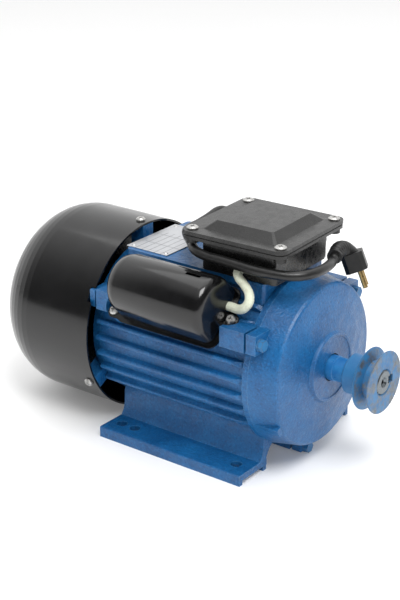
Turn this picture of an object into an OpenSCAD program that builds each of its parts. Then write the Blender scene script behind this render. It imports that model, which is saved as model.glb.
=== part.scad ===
// Foot-mounted single-phase motor: finned cast housing, two end shields, fan cowl,
// capacitor under its own cover, terminal box with a mains lead, V-belt pulley.
// +X runs along the shaft to the pulley, +Z is up. The origin is the centre of the
// rectangle of foot holes, on the plane the feet stand on. Units are millimetres.

/* [Frame] */
// Height of the shaft's axis above the feet
shaft_height = 80; // [80:1:84]
// Distance between the foot holes across the motor
foot_hole_across = 125; // [122:1:128]
// Distance between the foot holes along the motor
foot_hole_along = 100; // [96:1:104]
// Diameter of a foot hole
foot_hole_d = 9; // [7:0.5:10]
// Extra rear foot hole, further back by
foot_hole_step = 13.5; // [12:0.5:15]
// Radius of the housing at the bottom of the fins
root_r = 64; // [63:0.5:65]
// Radius of the housing at the tips of the fins
fin_r = 69.3; // [68:0.1:70]
// Height of the flat pad on top
pad_z = 151; // [150.5:0.5:152]

/* [Shaft] */
// Diameter of the shaft end that carries the pulley
shaft_d = 19; // [18:0.5:19.5]
// Diameter of the bearing seats
seat_d = 20; // [20:1:20]

/* [Pulley] */
// Outside diameter of the pulley
pulley_d = 49; // [46:0.5:52]
// Width of the pulley's rim
pulley_w = 13.4; // [13:0.1:15]
// Diameter of the pulley's hub
hub_d = 31.5; // [29:0.5:34]
// Length of the pulley's hub behind the rim
hub_l = 15; // [13:0.5:16]

/* [Cowl] */
// Outside radius of the fan cowl
cowl_r = 79; // [78.5:0.1:79.4]
// Depth of the rounding at the back of the cowl
cowl_round = 43; // [36:1:46]

/* [Terminal box] */
// Width of the lid across the motor
lid_w = 94; // [92:1:96]
// Length of the lid along the motor
lid_l = 92; // [90:1:94]
// Distance between the lid screws
lid_screw_w = 78; // [74:1:80]
// Turn of the box on its pad, in degrees
box_turn = 2.5; // [0:0.5:3]

/* [Capacitor] */
// Length of the capacitor cover
cover_l = 97; // [92:1:100]
// Height of the cover above the shoulder it sits on
cover_h = 42; // [40:1:43]

/* [Mains lead] */
// Diameter of the lead
cord_d = 7.6; // [7:0.1:8]

/* [Hidden] */
$fn = 96;

frame_rear = -83;
frame_front = 63.5;
bore_r = 58.5;
front_bolts = [[28.6, 74.5], [151.4, 74.5], [270, 74.5]];
rear_bolts = [[30, 70], [150, 70], [270, 70]];
ear_angles = [90, 210, 330];
fin_first = 167;
fin_step = 11.5;
fin_t = 4.2;
pad_half = 40;
pad_rear = -74;
pad_front = 58;
rail_y = 71;
rail_z = [28, 44];

foot_top = 9;
foot_plate_t = 5.2;
foot_out = 77;
foot_web = 46;
foot_rear = -74.5;
foot_front = 63.4;
foot_pad_r = 8.5;
foot_holes = [foot_hole_along / 2, -foot_hole_along / 2, -foot_hole_along / 2 - foot_hole_step];

shield_face = 87;
shield_face_r = 64;
dome_face = 92.5;
boss_r = 28;
boss_face = 95;
hole_r = 11;
ear_x = frame_rear - 9;
lug_in = 50;
lug_low = 108.4;
lug_bottom_top = 22;
bearing_r = 23.5;
bearing_w = 14;
front_bearing_x = 71;
rear_bearing_x = -110;
ball_r = 3.97;
ball_pitch_r = 16.75;
ball_count = 8;

shaft_end = 140;
pulley_rear = shaft_end - pulley_w;
hub_rear = pulley_rear - hub_l;
key_w = 6;

stator_x = [-50, 28];
air_gap_r = 33.5;
rotor_r = 33.2;

cowl_rim = -84.5;
cowl_back = -192;
cowl_t = 1.5;

box_x = 29;
box_body = [65.4, 76.6];
box_inside = [60, 71];
box_middle = [2.7, -2];
box_screw_places = [[22, 28], [-22, -28]];
stud_places = [-16, 0, 16];
box_floor = pad_z + 1;
box_top = 175.5;
flange_top = 178;
lid_bottom = 179.2;
lid_top = 182;
panel_top = 188;
gland_x = 2;
gland_z = 163;
gland_face = box_middle.y + box_body.y / 2;
gland_l = 13;
plate_x = [-77, -37];
plate_y = [-36, 26];
rivet_places = [[-73, -32], [-41, -32], [-73, 22], [-41, 22]];

shoulder_r = 69.3;
cover_x = -11;
cover_shift = -8.5;
cover_half = 24;
cover_t = 1.2;
left_round = 11;
right_round = 6.5;
cover_tabs = [[cover_l / 2 + 2, 0], [-cover_l / 2 - 3, -19]];
can_z = 20;
can_r = 18;
sleeve_r = 3.6;
sleeve_hole = [8.5, 5.5];
sleeve_exit = [4, 157.4];
sleeve_points = [
    [32, -53, 133], [38, -53, 133], [45, -54, 133.2], [51, -55.2, 136.5], [54.3, -54.3, 142],
    [51.8, -51.3, 147.3], [45, -47.6, 150.8], [38.5, -45.3, 154], [35.3, -42.6, 156.6],
    [34.6, -38.4, 157.4]
];

governor_x = -64;
weight_pivot_r = 25;
weight_pivot_x = governor_x - 2.5;

// Place on the box as a place in the whole motor
function in_box(p) = [
    box_x + p.x * cos(box_turn) - p.y * sin(box_turn),
    p.x * sin(box_turn) + p.y * cos(box_turn),
    p.z
];

// Route of the mains lead: out of the gland, one and a half turns laid on the far
// shoulder, over the plate, round the box under the lid and into the plug's boot
coil_middle = [0, 59, 134.8];
coil_r = 31;
coil_down = [0, cos(42), -sin(42)];
coil_out = [0, sin(42), cos(42)];
coil_rise = [[0, 26], [180, 13], [360, 11], [540, 4.4]];
coil_points = [
    for (a = [0 : 30 : 540])
        coil_middle + coil_r * cos(a) * [1, 0, 0] + coil_r * sin(a) * coil_down
            + lookup(a, coil_rise) * coil_out
];
start_points = [
    in_box([gland_x, gland_face + gland_l + 4, gland_z]),
    in_box([gland_x, gland_face + gland_l + 9, gland_z]), [31, 68, 160]
];
plug_middle = [82.2, 46.5, 149.3];
plug_length = 14.5;
plug_z = unit([-0.416, -0.009, 0.909]);
plug_x = unit(cross([-0.47, 0.86, -0.238], plug_z));
plug_y = cross(plug_z, plug_x);
plug_pin = [2.2, 7];
pin_out = 14;
boot_mouth = [80.5, 20, 160.5];
boot_way = unit([-0.34, 0.93, 0.13]);
boot_points = [
    boot_mouth + 3 * boot_way, [78.2, 27, 162.3], [77.3, 33, 162.4], [77.6, 39, 160.2],
    [78.6, 42, 157.6]
];
boot_end = [79.8, 44.5, 154.5];
end_points = [
    [-34.5, 53.5, 147.5], [-36, 49, 158.5], [-37, 42, 166.5], [-37.5, 32, 169.5], [-39, 20, 166.5],
    [-41, 9, 164], [-41.5, -1, 163.5], [-37, -10.5, 164.5], [-28, -21, 166], [-15, -33.5, 167],
    [-3, -44.5, 166.5], [10, -46.6, 165], [24, -47, 165], [38, -47.5, 164.8],
    [52, -47.6, 164.2], [66, -44.5, 163.6], [77, -40, 163], [85, -34, 163], [89.5, -26, 163],
    [91, -17, 163], [90, -6.5, 162.4], [87, 4, 161.2], boot_mouth - 7 * boot_way,
    boot_mouth - 3 * boot_way
];

cord_path = concat(
    [in_box([gland_x, gland_face + gland_l + 0.02, gland_z])],
    curve(concat(start_points, [coil_points[0]]), 2),
    [for (k = [1 : 18]) coil_points[k]],
    curve(end_points, 2),
    [boot_mouth]
);

// Places a shape that stands along Z on the shaft's axis, starting at x
module on_axis(x) {
    translate([x, 0, shaft_height])
        rotate([0, 90, 0])
            children();
}

// A disc about the shaft's axis
module disc(x0, x1, r) {
    on_axis(x0)
        cylinder(h = x1 - x0, r = r);
}

// A ring about the shaft's axis
module ring(x0, x1, outer, inner) {
    difference() {
        disc(x0, x1, outer);
        disc(x0 - 1, x1 + 1, inner);
    }
}

// A shape turned about the shaft's axis, from points given as [radius, x]
module turned(points) {
    on_axis(0)
        rotate_extrude()
            polygon(points);
}

// Turns +Y to an angle about the shaft's axis: 0 is +Y, 90 is up, 180 is -Y
module at_angle(a) {
    translate([0, 0, shaft_height])
        rotate([a, 0, 0])
            children();
}

// A cylinder along X at a radius and an angle about the shaft's axis
module pin(a, radius, x0, x1, r) {
    at_angle(a)
        translate([x0, radius, 0])
            rotate([0, 90, 0])
                cylinder(h = x1 - x0, r = r);
}

// A box given by its lowest and highest corners
module block(low, high) {
    translate(low)
        cube(high - low);
}

// A slab in the horizontal plane with rounded corners
module slab(size, corner, z0, z1) {
    translate([0, 0, z0])
        linear_extrude(height = z1 - z0)
            rounded(size, corner);
}

// A flat rectangle with rounded corners, centred
module rounded(size, corner) {
    x = size.x / 2 - corner;
    y = size.y / 2 - corner;
    union() {
        square([size.x, 2 * y], center = true);
        square([2 * x, size.y], center = true);
        for (sx = [-1, 1])
            for (sy = [-1, 1])
                translate([sx * x, sy * y])
                    circle(r = corner);
    }
}

// A pan-head screw along Z: shank below the head's seat at z = 0
module pan_screw(head_r, head_h, shank_r, shank_l) {
    difference() {
        union() {
            cylinder(h = head_h * 0.5, r = head_r);
            translate([0, 0, head_h * 0.5])
                cylinder(h = head_h * 0.5, r1 = head_r, r2 = head_r * 0.72);
            translate([0, 0, -shank_l])
                cylinder(h = shank_l, r = shank_r);
        }
        for (a = [0, 90])
            rotate([0, 0, a])
                translate([-head_r * 0.5, -head_r * 0.1, head_h * 0.45])
                    cube([head_r, head_r * 0.2, head_h]);
    }
}

// A hexagon-head bolt along Z: shank below the head's seat at z = 0
module hex_bolt(flats, head_h, shank_r, shank_l) {
    cylinder(h = head_h, r = flats / sqrt(3), $fn = 6);
    translate([0, 0, -shank_l])
        cylinder(h = shank_l, r = shank_r);
}

// Points of a smooth curve through hand-set points
function curve_at(p, i, t) =
    let (
        a = p[max(i - 1, 0)],
        b = p[i],
        c = p[i + 1],
        d = p[min(i + 2, len(p) - 1)]
    )
    0.5 * (2 * b + (c - a) * t + (2 * a - 5 * b + 4 * c - d) * t * t
        + (3 * b - a - 3 * c + d) * t * t * t);
function curve(p, n) = [
    for (i = [0 : len(p) - 2])
        for (k = [0 : n - 1])
            curve_at(p, i, k / n),
    p[len(p) - 1]
];
function unit(v) = v / norm(v);
function tangent(c, i) = unit(c[min(i + 1, len(c) - 1)] - c[max(i - 1, 0)]);
// Side vectors carried along the curve without twist
function carried(c, i, s) =
    let (t = tangent(c, i), v = unit(s - (s * t) * t))
    i == len(c) - 1 ? [v] : concat([v], carried(c, i + 1, v));

// Faces that join a row of closed rings into one solid
function skin(rings, sides) = concat(
    [
        for (i = [0 : rings - 2])
            for (k = [0 : sides - 1])
                let (a = i * sides + k, b = i * sides + (k + 1) % sides)
                [a, a + sides, b + sides, b]
    ],
    [[for (k = [0 : sides - 1]) k]],
    [[for (k = [sides - 1 : -1 : 0]) (rings - 1) * sides + k]]
);

// A round tube swept along a curve, closed at both ends
module swept(c, r, r_end, sides, start) {
    side = carried(c, 0, start);
    last = len(c) - 1;
    points = [
        for (i = [0 : last])
            let (t = tangent(c, i), u = side[i], w = cross(t, u), ri = r + (r_end - r) * i / last)
            for (k = [0 : sides - 1])
                c[i] + ri * (cos(360 * k / sides) * u + sin(360 * k / sides) * w)
    ];
    polyhedron(points = points, faces = skin(len(c), sides), convexity = 10);
}

// ---- Housing and feet ----

// Half of the foot outline in the YZ plane, on the +Y side
module foot_profile() {
    translate([foot_web - 5, foot_top - foot_plate_t])
        square([foot_out - foot_web + 4, foot_plate_t]);
    translate([foot_out - 4, 0])
        square([4, foot_top - 1]);
    translate([foot_out - 1, foot_top - 1])
        circle(r = 1);
    polygon([
        [foot_web - 4.5, 0], [foot_web, 0], [foot_web, 4], [foot_web + 4, foot_top],
        [foot_web + 1, foot_top + 4], [foot_web - 0.5, foot_top + 9],
        [foot_web - 1, 29], [foot_web - 5, 40], [26, 40], [28, 20], [34, 19.5],
        [foot_web - 8, 16], [foot_web - 4.5, 10]
    ]);
}

// A foot with a pad under each bolt hole, down to the plane it stands on
module one_foot() {
    difference() {
        union() {
            translate([foot_rear, 0, 0])
                rotate([90, 0, 90])
                    linear_extrude(height = foot_front - foot_rear)
                        foot_profile();
            for (x = foot_holes)
                translate([x, foot_hole_across / 2, 0])
                    cylinder(h = foot_top - 1, r = foot_pad_r);
        }
        for (x = foot_holes)
            translate([x, foot_hole_across / 2, -1])
                cylinder(h = foot_top + 2, r = foot_hole_d / 2);
    }
}

// One straight fin with a rounded tip, at an angle about the axis
module fin(a) {
    at_angle(a)
        translate([frame_rear, 0, 0])
            rotate([90, 0, 90])
                linear_extrude(height = frame_front - frame_rear) {
                    polygon([
                        [root_r - 2, -fin_t / 2 - 0.8], [fin_r - 2, -2],
                        [fin_r - 2, 2], [root_r - 2, fin_t / 2 + 0.8]
                    ]);
                    translate([fin_r - 2, 0])
                        circle(r = 2);
                }
}

// The envelope that the fins are turned down to, falling away before the front ring
module fin_envelope() {
    turned([
        [0, frame_rear - 1], [fin_r + 0.1, frame_rear - 1], [fin_r + 0.1, frame_front - 15],
        [fin_r - 0.8, frame_front - 10.5], [fin_r - 2.6, frame_front - 7],
        [root_r, frame_front - 4.5], [0, frame_front - 4.5]
    ]);
}

module fins() {
    intersection() {
        for (i = [0 : 4])
            for (side = [0, 1])
                fin(side == 0 ? fin_first + i * fin_step : 180 - fin_first - i * fin_step);
        fin_envelope();
    }
    intersection() {
        for (a = [140, 128, 52, 40])
            fin(a);
        fin_envelope();
    }
}

// Squared rails at the two upper bolts, and the bottom lug ends
module rails() {
    for (side = [-1, 1])
        translate([0, side < 0 ? -rail_y : rail_y - 20, shaft_height])
            block([frame_rear + 3, 0, rail_z[0]], [frame_front - 2, 20, rail_z[1]]);
    for (x = [[frame_rear + 3, frame_rear + 25], [frame_front - 25, frame_front - 2]])
        block([x[0], -6.5, shaft_height - 78.2], [x[1], 6.5, shaft_height - 60]);
}

// Bosses under the tabs of the capacitor cover
module cover_bosses() {
    for (p = cover_tabs)
        translate([p.x, p.y, -13])
            cylinder(h = 14, r = 5);
}

// Room for the cover on the shoulder, and the holes for its two screws
module cover_seat() {
    block([-cover_l / 2 - 2, -cover_half - 4, 0], [cover_l / 2 + 2, cover_half + 3, 40]);
    for (p = cover_tabs) {
        translate([p.x, p.y, 0])
            cylinder(h = 30, r = 7.5);
        translate([p.x, p.y, -9])
            cylinder(h = 10, r = 2);
    }
}

module frame_housing() {
    color("royalblue")
        difference() {
            union() {
                disc(frame_rear, frame_front, root_r);
                disc(frame_front - 5, frame_front, fin_r - 0.5);
                fins();
                rails();
                translate([(pad_rear + pad_front) / 2, 0, 0])
                    slab([pad_front - pad_rear, 2 * pad_half], 3, shaft_height + 45, pad_z);
                one_foot();
                mirror([0, 1, 0])
                    one_foot();
                on_shoulder()
                    cover_bosses();
            }
            disc(frame_rear - 1, frame_front + 1, bore_r);
            for (b = front_bolts)
                pin(b[0], b[1], frame_front - 20, frame_front + 1, 2.6);
            for (b = rear_bolts)
                pin(b[0], b[1], frame_rear - 1, frame_rear + 21, 2.6);
            on_shoulder()
                cover_seat();
            on_box() {
                translate([6, 0, shaft_height + 50])
                    cylinder(h = 30, r = 14);
                for (p = box_screw_places)
                    translate([p.x, p.y, pad_z - 10])
                        cylinder(h = 11, r = 2);
            }
            for (p = rivet_places)
                translate([p.x, p.y, pad_z - 5])
                    cylinder(h = 6, r = 1.2);
        }
}

// ---- Stator ----

module stator_core() {
    color("dimgray")
        difference() {
            disc(stator_x[0], stator_x[1], bore_r);
            disc(stator_x[0] - 1, stator_x[1] + 1, air_gap_r);
            for (k = [0 : 23])
                at_angle(15 * k)
                    block([stator_x[0] - 1, air_gap_r - 1, -1.2], [stator_x[1] + 1, 41, 1.2]);
            for (k = [0 : 23])
                pin(15 * k, 43, stator_x[0] - 1, stator_x[1] + 1, 3.4);
        }
}

// A rounded bundle of end turns that leaves the core at x0 and ends at x1
module end_turns(x0, x1) {
    l = x1 - x0;
    turned([
        [38, x0], [54, x0], [56, x0 + l * 0.2], [55, x0 + l * 0.8],
        [51, x1], [42, x1], [38, x0 + l * 0.8]
    ]);
}

module front_winding() {
    color("peru")
        end_turns(stator_x[1], stator_x[1] + 25);
}

module rear_winding() {
    color("peru")
        end_turns(stator_x[0], stator_x[0] - 24);
}

// ---- End shields ----

// A squared lug for each shield bolt, standing upright like the rails
module shield_lugs(x0, x1, out, top) {
    for (side = [-1, 1])
        block(
            [x0, min(side * lug_in, side * out), lug_low], [x1, max(side * lug_in, side * out), top]
        );
    block([x0, -6, shaft_height - out - 7], [x1, 6, lug_bottom_top]);
}

module drive_end_shield() {
    color("steelblue")
        difference() {
            union() {
                turned([
                    [0, frame_front - 5], [bore_r - 0.05, frame_front - 5], [bore_r - 0.05, frame_front],
                    [fin_r - 0.5, frame_front], [shield_face_r + 0.8, shield_face - 2.5],
                    [shield_face_r - 0.2, shield_face - 0.8], [shield_face_r - 1.8, shield_face],
                    [45, shield_face + 3.4], [boss_r + 1, dome_face], [boss_r, dome_face + 1],
                    [boss_r - 0.4, boss_face - 0.6], [boss_r - 1, boss_face],
                    [boss_r - 2.8, boss_face], [boss_r - 3.6, boss_face - 0.8], [0, boss_face - 0.8]
                ]);
                shield_lugs(frame_front, frame_front + 8.5, 71, 123.7);
                at_angle(212)
                    block([frame_front + 1, 60, -3.5], [shield_face - 1.5, 68.6, 3.5]);
            }
            turned([
                [0, frame_front - 6], [bore_r - 4, frame_front - 6], [bore_r - 4, shield_face - 9],
                [bore_r - 8, shield_face - 5], [bearing_r + 6, shield_face - 5],
                [bearing_r + 5, front_bearing_x], [bearing_r, front_bearing_x],
                [bearing_r, front_bearing_x + bearing_w], [hole_r, front_bearing_x + bearing_w],
                [hole_r, boss_face + 1], [0, boss_face + 1]
            ]);
            for (b = front_bolts)
                pin(b[0], b[1], frame_front - 1, frame_front + 10, 2.8);
        }
}

module rear_shield() {
    color("steelblue")
        difference() {
            union() {
                turned([
                    [0, frame_rear + 5], [bore_r - 0.05, frame_rear + 5], [bore_r - 0.05, frame_rear],
                    [root_r, frame_rear], [root_r - 1, frame_rear - 8], [48, frame_rear - 20],
                    [34, frame_rear - 24], [bearing_r + 6, rear_bearing_x - 3],
                    [0, rear_bearing_x - 3]
                ]);
                shield_lugs(frame_rear - 5, frame_rear, 69, 122);
                for (a = ear_angles)
                    at_angle(a)
                        block([frame_rear - 14, 50, -6], [frame_rear - 1.2, cowl_r - cowl_t - 0.4, 6]);
            }
            turned([
                [0, frame_rear + 6], [bore_r - 4, frame_rear + 6], [bore_r - 5, frame_rear - 4],
                [44, frame_rear - 16], [32, frame_rear - 18], [32, rear_bearing_x + 14],
                [bearing_r, rear_bearing_x + 14], [bearing_r, rear_bearing_x - 1],
                [12, rear_bearing_x - 1], [12, rear_bearing_x - 4], [0, rear_bearing_x - 4]
            ]);
            for (b = rear_bolts)
                pin(b[0], b[1], frame_rear - 8, frame_rear + 1, 2.8);
            for (a = ear_angles)
                at_angle(a)
                    translate([ear_x, 60, 0])
                        rotate([-90, 0, 0])
                            cylinder(h = 30, r = 1.7);
        }
}

module shield_bolts(bolts, x, facing) {
    for (b = bolts)
        at_angle(b[0])
            translate([x, b[1], 0])
                rotate([0, 90 * facing, 0])
                    hex_bolt(8, 3.7, 2.5, 22);
}

module bolt_washers(bolts, x0, x1) {
    for (b = bolts)
        difference() {
            pin(b[0], b[1], x0, x1, 4.9);
            pin(b[0], b[1], x0 - 1, x1 + 1, 2.7);
        }
}

module front_shield_bolts() {
    color("steelblue")
        shield_bolts(front_bolts, frame_front + 9.5, 1);
}

module front_bolt_washers() {
    color("steelblue")
        bolt_washers(front_bolts, frame_front + 8.5, frame_front + 9.5);
}

module rear_shield_bolts() {
    color("steelblue")
        shield_bolts(rear_bolts, frame_rear - 6, -1);
}

module rear_bolt_washers() {
    color("steelblue")
        bolt_washers(rear_bolts, frame_rear - 6, frame_rear - 5);
}

// ---- Bearings and seal ----

module outer_race(x) {
    difference() {
        ring(x, x + bearing_w, bearing_r, 20);
        on_axis(x + bearing_w / 2)
            rotate_extrude()
                translate([ball_pitch_r, 0])
                    circle(r = ball_r + 0.15);
    }
}

module inner_race(x) {
    difference() {
        ring(x, x + bearing_w, 13.5, seat_d / 2);
        on_axis(x + bearing_w / 2)
            rotate_extrude()
                translate([ball_pitch_r, 0])
                    circle(r = ball_r + 0.15);
    }
}

// The balls and the cage that spaces them
module ball_set(x) {
    middle = x + bearing_w / 2;
    for (k = [0 : ball_count - 1])
        at_angle(360 * k / ball_count)
            translate([middle, ball_pitch_r, 0])
                sphere(r = ball_r);
    difference() {
        ring(middle - 4.5, middle + 4.5, ball_pitch_r + 1, ball_pitch_r - 1);
        for (k = [0 : ball_count - 1])
            at_angle(360 * k / ball_count)
                translate([middle, 10, 0])
                    rotate([-90, 0, 0])
                        cylinder(h = 14, r = ball_r + 0.15);
    }
}

module front_bearing_outer() {
    color("silver")
        outer_race(front_bearing_x);
}

module rear_bearing_outer() {
    color("silver")
        outer_race(rear_bearing_x);
}

module front_bearing_inner() {
    color("silver")
        inner_race(front_bearing_x);
}

module rear_bearing_inner() {
    color("silver")
        inner_race(rear_bearing_x);
}

module front_bearing_balls() {
    color("silver")
        ball_set(front_bearing_x);
}

module rear_bearing_balls() {
    color("silver")
        ball_set(rear_bearing_x);
}

module wave_spring() {
    color("silver")
        ring(rear_bearing_x - 0.8, rear_bearing_x - 0.1, bearing_r - 0.2, 20.5);
}

module shaft_seal() {
    color("black")
        turned([
            [hole_r, front_bearing_x + bearing_w + 0.5], [hole_r, boss_face - 2],
            [10.5, boss_face - 2], [10.05, boss_face - 4], [10.05, boss_face - 5],
            [10.5, front_bearing_x + bearing_w + 0.5]
        ]);
}

// ---- Fan and cowl ----

function reversed(list) = [for (k = [len(list) - 1 : -1 : 0]) list[k]];

// One side of the cowl's wall, from the open rim to the middle of its back
function cowl_edge(inset) = [
    [cowl_r - inset, cowl_rim],
    for (k = [0 : 12])
        let (a = 90 * k / 12)
        [
            cowl_r - cowl_round + (cowl_round - inset) * cos(a),
            cowl_back + cowl_round - (cowl_round - inset) * sin(a)
        ],
    [0, cowl_back + inset]
];

module fan_cowl() {
    color([0.06, 0.06, 0.07])
        difference() {
            turned([each cowl_edge(0), each reversed(cowl_edge(cowl_t))]);
            disc(cowl_back - 1, cowl_back + 3, 3);
            for (row = [1 : 4])
                for (k = [0 : 6 * row - 1])
                    pin(360 * k / (6 * row), 8.6 * row, cowl_back - 1, cowl_back + 9, 2.8);
            shield_lugs(frame_rear - 5.6, frame_rear + 1, 72, 123);
            for (a = ear_angles)
                at_angle(a)
                    translate([ear_x, 60, 0])
                        rotate([-90, 0, 0])
                            cylinder(h = 30, r = 2.2);
        }
}

module cowl_screws() {
    color("silver")
        for (a = ear_angles)
            at_angle(a)
                translate([ear_x, cowl_r + 0.05, 0])
                    rotate([-90, 0, 0])
                        pan_screw(3.8, 2.4, 1.65, 9);
}

module cooling_fan() {
    color("dimgray")
        difference() {
            union() {
                turned([
                    [0, -150], [13, -150], [15, -128], [30, -124], [64, -122], [66, -124],
                    [66, -126], [30, -128], [20, -134], [14, -150], [0, -150]
                ]);
                disc(-150, -124, 14);
                for (k = [0 : 6])
                    at_angle(360 * k / 7)
                        block([-158, 18, -1.3], [-125, 64, 1.3]);
            }
            disc(-160, -120, 8);
            for (k = [0 : 6])
                at_angle(360 * k / 7)
                    translate([-158, 18, -3])
                        rotate([0, -22, 0])
                            rotate([-14, 0, 0])
                                translate([-20, -8, -4])
                                    cube([20, 60, 12]);
        }
}

module fan_circlip() {
    color("silver")
        difference() {
            ring(-151.6, -150.2, 10.5, 7);
            block([-153, -2, shaft_height + 3], [-149, 2, shaft_height + 14]);
        }
}

// ---- Rotor ----

module shaft() {
    color("silver")
        difference() {
            union() {
                disc(-155, rear_bearing_x, 8);
                disc(rear_bearing_x, rear_bearing_x + bearing_w, seat_d / 2);
                disc(rear_bearing_x + bearing_w, front_bearing_x, 12.5);
                disc(front_bearing_x, 99.5, seat_d / 2);
                on_axis(99.5)
                    cylinder(h = 0.5, r1 = seat_d / 2, r2 = shaft_d / 2);
                disc(100, shaft_end - 0.8, shaft_d / 2);
                on_axis(shaft_end - 0.8)
                    cylinder(h = 0.8, r1 = shaft_d / 2, r2 = shaft_d / 2 - 0.8);
            }
            ring(-151.8, -150, 9, 7);
            block([112, shaft_d / 2 - 3.5, shaft_height - key_w / 2], [shaft_end + 1, 12, shaft_height + key_w / 2]);
            disc(shaft_end - 12, shaft_end + 1, 2.5);
            on_axis(shaft_end - 2)
                cylinder(h = 2.01, r1 = 2.5, r2 = 4.2);
        }
}

module rotor_core() {
    color("gray")
        difference() {
            ring(stator_x[0], stator_x[1], rotor_r, 12.5);
            for (k = [0 : 27])
                pin(360 * k / 28, 29, stator_x[0] - 1, stator_x[1] + 1, 2);
        }
}

module rotor_end_rings() {
    color("lightgray") {
        for (x = [[stator_x[0] - 8, stator_x[0]], [stator_x[1], stator_x[1] + 8]])
            ring(x[0], x[1], 32.6, 22);
        for (k = [0 : 27])
            pin(360 * k / 28, 29, stator_x[0] - 1, stator_x[1] + 1, 2);
        for (k = [0 : 6])
            at_angle(360 * k / 7)
                block([stator_x[1] + 7, 24, -1.5], [stator_x[1] + 17, 32, 1.5]);
    }
}

module pulley() {
    top = pulley_d / 2;
    middle = shaft_end - pulley_w / 2;
    color("steelblue")
        difference() {
            turned([
                [0, hub_rear], [hub_d / 2 - 1, hub_rear], [hub_d / 2, hub_rear + 1],
                [hub_d / 2, pulley_rear], [top - 0.5, pulley_rear], [top, pulley_rear + 0.4],
                [top, middle - 5.9], [15.4, middle - 2.8], [15.4, middle + 2.8],
                [top, middle + 5.9], [top, shaft_end - 0.4], [top - 0.5, shaft_end], [0, shaft_end]
            ]);
            disc(hub_rear - 1, shaft_end + 1, shaft_d / 2 + 0.01);
            on_axis(shaft_end - 1.3)
                cylinder(h = 1.31, r1 = shaft_d / 2, r2 = shaft_d / 2 + 1.3);
            block([hub_rear - 1, 5, shaft_height - key_w / 2], [shaft_end + 1, shaft_d / 2 + 2.8, shaft_height + key_w / 2]);
            at_angle(0)
                translate([hub_rear + hub_l / 2, shaft_d / 2, 0])
                    rotate([-90, 0, 0])
                        cylinder(h = 10, r = 2.5);
        }
}

module pulley_key() {
    color("dimgray")
        block([hub_rear + 1, shaft_d / 2 - 3.5, shaft_height - key_w / 2], [shaft_end - 9, shaft_d / 2 + 2.5, shaft_height + key_w / 2]);
}

module pulley_set_screw() {
    color("dimgray")
        translate([hub_rear + hub_l / 2, shaft_d / 2 + 2.5, shaft_height])
            rotate([-90, 0, 0])
                difference() {
                    cylinder(h = 3.4, r = 2.5);
                    translate([0, 0, 1.6])
                        cylinder(h = 3, r = 1.44, $fn = 6);
                }
}

// ---- Start switch ----

module governor_plate() {
    color("goldenrod")
        difference() {
            union() {
                ring(governor_x, governor_x + 2, 31, 12.5);
                for (s = [-1, 1])
                    for (side = [-1, 1])
                        translate([0, 0, shaft_height + s * weight_pivot_r])
                            block([governor_x - 4.5, side * 9.3 - 0.8, -2.5], [governor_x, side * 9.3 + 0.8, 2.5]);
            }
            for (s = [-1, 1])
                translate([weight_pivot_x, -20, shaft_height + s * weight_pivot_r])
                    rotate([-90, 0, 0])
                        cylinder(h = 40, r = 0.85);
        }
}

module flyweight(s) {
    translate([weight_pivot_x, 0, shaft_height + s * weight_pivot_r]) {
        rotate([90, 0, 0])
            translate([0, 0, -11])
                cylinder(h = 22, r = 0.8);
        translate([-13, -8, s > 0 ? -1.8 : -4.2])
            cube([13.4, 16, 6]);
    }
}

module flyweight_upper() {
    color("slategray")
        flyweight(1);
}

module flyweight_lower() {
    color("slategray")
        flyweight(-1);
}

module governor_collar() {
    color("saddlebrown")
        difference() {
            union() {
                disc(-82, -70, 16.5);
                disc(-82, -79.8, 21);
            }
            disc(-83, -67, 12.53);
        }
}

module switch_board() {
    color("darkolivegreen") {
        difference() {
            ring(-95.9, -94, 36, 25);
            block([-98, -60, shaft_height + 8], [-90, 60, shaft_height + 60]);
        }
        difference() {
            for (side = [-1, 1])
                block([-94.5, side * 7 - 1, shaft_height - 36], [-84, side * 7 + 1, shaft_height - 30]);
            translate([-86, 0, shaft_height - 33])
                rotate([90, 0, 0])
                    cylinder(h = 20, r = 1.05, center = true);
        }
    }
}

module switch_arm() {
    color("goldenrod") {
        translate([-86, 0, shaft_height - 33])
            rotate([90, 0, 0])
                translate([0, 0, -7.8])
                    cylinder(h = 15.6, r = 1);
        block([-86.5, -4, shaft_height - 33], [-85.3, 4, shaft_height - 14]);
        translate([-85.3, 0, shaft_height - 17.5])
            rotate([0, 90, 0])
                cylinder(h = 2.6, r = 2.2);
    }
}

// ---- Terminal box ----

module on_box() {
    translate([box_x, 0, 0])
        rotate([0, 0, box_turn])
            children();
}

module lid_screw_places() {
    for (sx = [-1, 1])
        for (sy = [-1, 1])
            translate([sx * lid_screw_w / 2, sy * lid_screw_w / 2, 0])
                children();
}

module terminal_box() {
    color([0.07, 0.07, 0.08])
        on_box()
            difference() {
                union() {
                    translate(box_middle)
                        slab(box_body, 3, box_floor, box_top);
                    slab([lid_l - 1, lid_w - 1], 7, box_top, flange_top);
                    lid_screw_places()
                        translate([0, 0, box_top - 4])
                            cylinder(h = 4.5, r = 5);
                }
                translate(box_middle)
                    slab(box_inside, 2, box_floor + 2.5, flange_top + 1);
                translate([6, 0, box_floor - 1])
                    cylinder(h = 5, r = 14);
                lid_screw_places()
                    translate([0, 0, box_top - 5])
                        cylinder(h = 10, r = 1.7);
                for (p = box_screw_places)
                    translate([p.x, p.y, box_floor - 1])
                        cylinder(h = 5, r = 2.3);
                translate([gland_x, gland_face - 5, gland_z])
                    rotate([-90, 0, 0])
                        cylinder(h = 12, r = 6);
                translate([sleeve_exit.x, box_middle.y - box_body.y / 2 - 1, sleeve_exit.y])
                    rotate([-90, 0, 0])
                        cylinder(h = 5, r = sleeve_r + 0.7);
            }
}

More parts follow.
